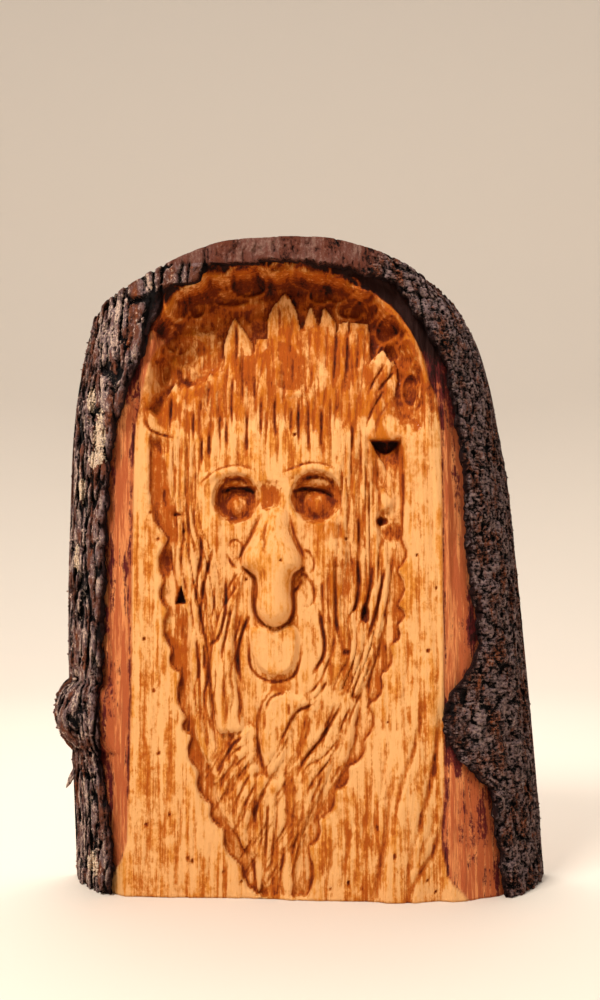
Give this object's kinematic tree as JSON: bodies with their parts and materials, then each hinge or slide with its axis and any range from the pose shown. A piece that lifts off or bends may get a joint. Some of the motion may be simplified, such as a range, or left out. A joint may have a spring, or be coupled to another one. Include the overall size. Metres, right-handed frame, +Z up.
{
  "type": "carved log sculpture with a tree face",
  "caption": "Upright split log with its bark left on as a rim, flat sawn back and base, and a bearded tree-spirit face carved in sunk relief under a scooped niche.",
  "frame": {"origin": "centre of the bounding box at the level of the flat sawn base, on the surface that the log stands on", "axes": "+Z up along the log's grain, +Y towards the flat sawn back, so the carved front faces -Y; +X to the right as the carving is seen from the front"},
  "size_m": [0.386, 0.0971, 0.484],
  "materials": {
    "varnished_wood": "oil stained and varnished softwood, pale on the high spots and dark red brown in the cuts, with rough grey-black bark round the rim"
  },
  "bodies": {
    "root": {"carved_log": "varnished_wood"}
  },
  "joints": []
}
